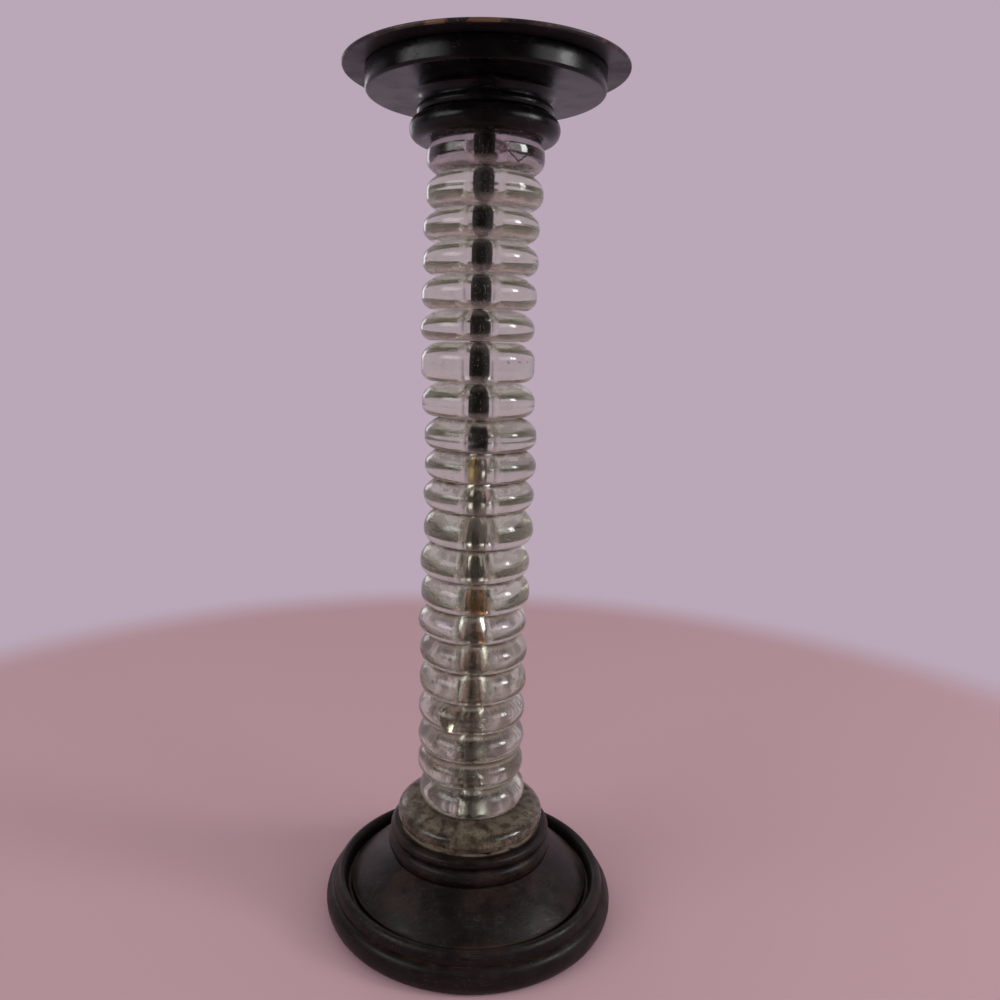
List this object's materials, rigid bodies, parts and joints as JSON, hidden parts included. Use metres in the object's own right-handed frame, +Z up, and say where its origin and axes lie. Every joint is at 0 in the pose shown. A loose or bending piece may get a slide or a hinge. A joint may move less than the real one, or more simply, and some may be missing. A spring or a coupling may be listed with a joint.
{
  "type": "footed pillar candle holder",
  "caption": "Tall candle holder: clear glass rings threaded on a tie rod between a turned dark wood foot and a turned black wood cup with a sheet-metal drip pan.",
  "frame": {"origin": "on the floor, under the middle of the foot", "axes": "+Z up along the tie rod, -Y towards the viewer of the picture, +X to their right"},
  "size_m": [0.1208, 0.1208, 0.3353],
  "materials": {
    "dark_wood": "dark stain under worn satin varnish",
    "black_wood": "black gloss lacquer",
    "black_sheet": "satin black paint, worn through at the rim",
    "clear_glass": "fire-polished, dusty",
    "steel": "dull drawn steel"
  },
  "bodies": {
    "stand": {"foot": "dark_wood", "foot_washer": "steel", "foot_nut": "steel", "tie_rod": "steel", "candle_cup": "black_wood", "drip_pan": "black_sheet", "pan_washer": "steel", "pan_nut": "steel"},
    "base_ring": {"base_glass_ring": "clear_glass"},
    "ring_01": {"glass_ring_01": "clear_glass"},
    "ring_02": {"glass_ring_02": "clear_glass"},
    "ring_03": {"glass_ring_03": "clear_glass"},
    "ring_04": {"glass_ring_04": "clear_glass"},
    "ring_05": {"glass_ring_05": "clear_glass"},
    "ring_06": {"glass_ring_06": "clear_glass"},
    "ring_07": {"glass_ring_07": "clear_glass"},
    "ring_08": {"glass_ring_08": "clear_glass"},
    "ring_09": {"glass_ring_09": "clear_glass"},
    "ring_10": {"glass_ring_10": "clear_glass"},
    "ring_11": {"glass_ring_11": "clear_glass"},
    "ring_12": {"glass_ring_12": "clear_glass"},
    "ring_13": {"glass_ring_13": "clear_glass"},
    "ring_14": {"glass_ring_14": "clear_glass"},
    "ring_15": {"glass_ring_15": "clear_glass"},
    "ring_16": {"glass_ring_16": "clear_glass"},
    "ring_17": {"glass_ring_17": "clear_glass"},
    "ring_18": {"glass_ring_18": "clear_glass"},
    "ring_19": {"glass_ring_19": "clear_glass"},
    "ring_20": {"glass_ring_20": "clear_glass"},
    "ring_21": {"glass_ring_21": "clear_glass"}
  },
  "joints": [
    {"name": "base_ring_turn", "type": "hinge", "parent": "stand", "child": "base_ring", "pos_m": [0, 0, 0], "axis": [0, 0, 1], "continuous": true},
    {"name": "ring_01_turn", "type": "hinge", "parent": "stand", "child": "ring_01", "pos_m": [0, 0, 0], "axis": [0, 0, 1], "continuous": true},
    {"name": "ring_02_turn", "type": "hinge", "parent": "stand", "child": "ring_02", "pos_m": [0, 0, 0], "axis": [0, 0, 1], "continuous": true},
    {"name": "ring_03_turn", "type": "hinge", "parent": "stand", "child": "ring_03", "pos_m": [0, 0, 0], "axis": [0, 0, 1], "continuous": true},
    {"name": "ring_04_turn", "type": "hinge", "parent": "stand", "child": "ring_04", "pos_m": [0, 0, 0], "axis": [0, 0, 1], "continuous": true},
    {"name": "ring_05_turn", "type": "hinge", "parent": "stand", "child": "ring_05", "pos_m": [0, 0, 0], "axis": [0, 0, 1], "continuous": true},
    {"name": "ring_06_turn", "type": "hinge", "parent": "stand", "child": "ring_06", "pos_m": [0, 0, 0], "axis": [0, 0, 1], "continuous": true},
    {"name": "ring_07_turn", "type": "hinge", "parent": "stand", "child": "ring_07", "pos_m": [0, 0, 0], "axis": [0, 0, 1], "continuous": true},
    {"name": "ring_08_turn", "type": "hinge", "parent": "stand", "child": "ring_08", "pos_m": [0, 0, 0], "axis": [0, 0, 1], "continuous": true},
    {"name": "ring_09_turn", "type": "hinge", "parent": "stand", "child": "ring_09", "pos_m": [0, 0, 0], "axis": [0, 0, 1], "continuous": true},
    {"name": "ring_10_turn", "type": "hinge", "parent": "stand", "child": "ring_10", "pos_m": [0, 0, 0], "axis": [0, 0, 1], "continuous": true},
    {"name": "ring_11_turn", "type": "hinge", "parent": "stand", "child": "ring_11", "pos_m": [0, 0, 0], "axis": [0, 0, 1], "continuous": true},
    {"name": "ring_12_turn", "type": "hinge", "parent": "stand", "child": "ring_12", "pos_m": [0, 0, 0], "axis": [0, 0, 1], "continuous": true},
    {"name": "ring_13_turn", "type": "hinge", "parent": "stand", "child": "ring_13", "pos_m": [0, 0, 0], "axis": [0, 0, 1], "continuous": true},
    {"name": "ring_14_turn", "type": "hinge", "parent": "stand", "child": "ring_14", "pos_m": [0, 0, 0], "axis": [0, 0, 1], "continuous": true},
    {"name": "ring_15_turn", "type": "hinge", "parent": "stand", "child": "ring_15", "pos_m": [0, 0, 0], "axis": [0, 0, 1], "continuous": true},
    {"name": "ring_16_turn", "type": "hinge", "parent": "stand", "child": "ring_16", "pos_m": [0, 0, 0], "axis": [0, 0, 1], "continuous": true},
    {"name": "ring_17_turn", "type": "hinge", "parent": "stand", "child": "ring_17", "pos_m": [0, 0, 0], "axis": [0, 0, 1], "continuous": true},
    {"name": "ring_18_turn", "type": "hinge", "parent": "stand", "child": "ring_18", "pos_m": [0, 0, 0], "axis": [0, 0, 1], "continuous": true},
    {"name": "ring_19_turn", "type": "hinge", "parent": "stand", "child": "ring_19", "pos_m": [0, 0, 0], "axis": [0, 0, 1], "continuous": true},
    {"name": "ring_20_turn", "type": "hinge", "parent": "stand", "child": "ring_20", "pos_m": [0, 0, 0], "axis": [0, 0, 1], "continuous": true},
    {"name": "ring_21_turn", "type": "hinge", "parent": "stand", "child": "ring_21", "pos_m": [0, 0, 0], "axis": [0, 0, 1], "continuous": true}
  ]
}
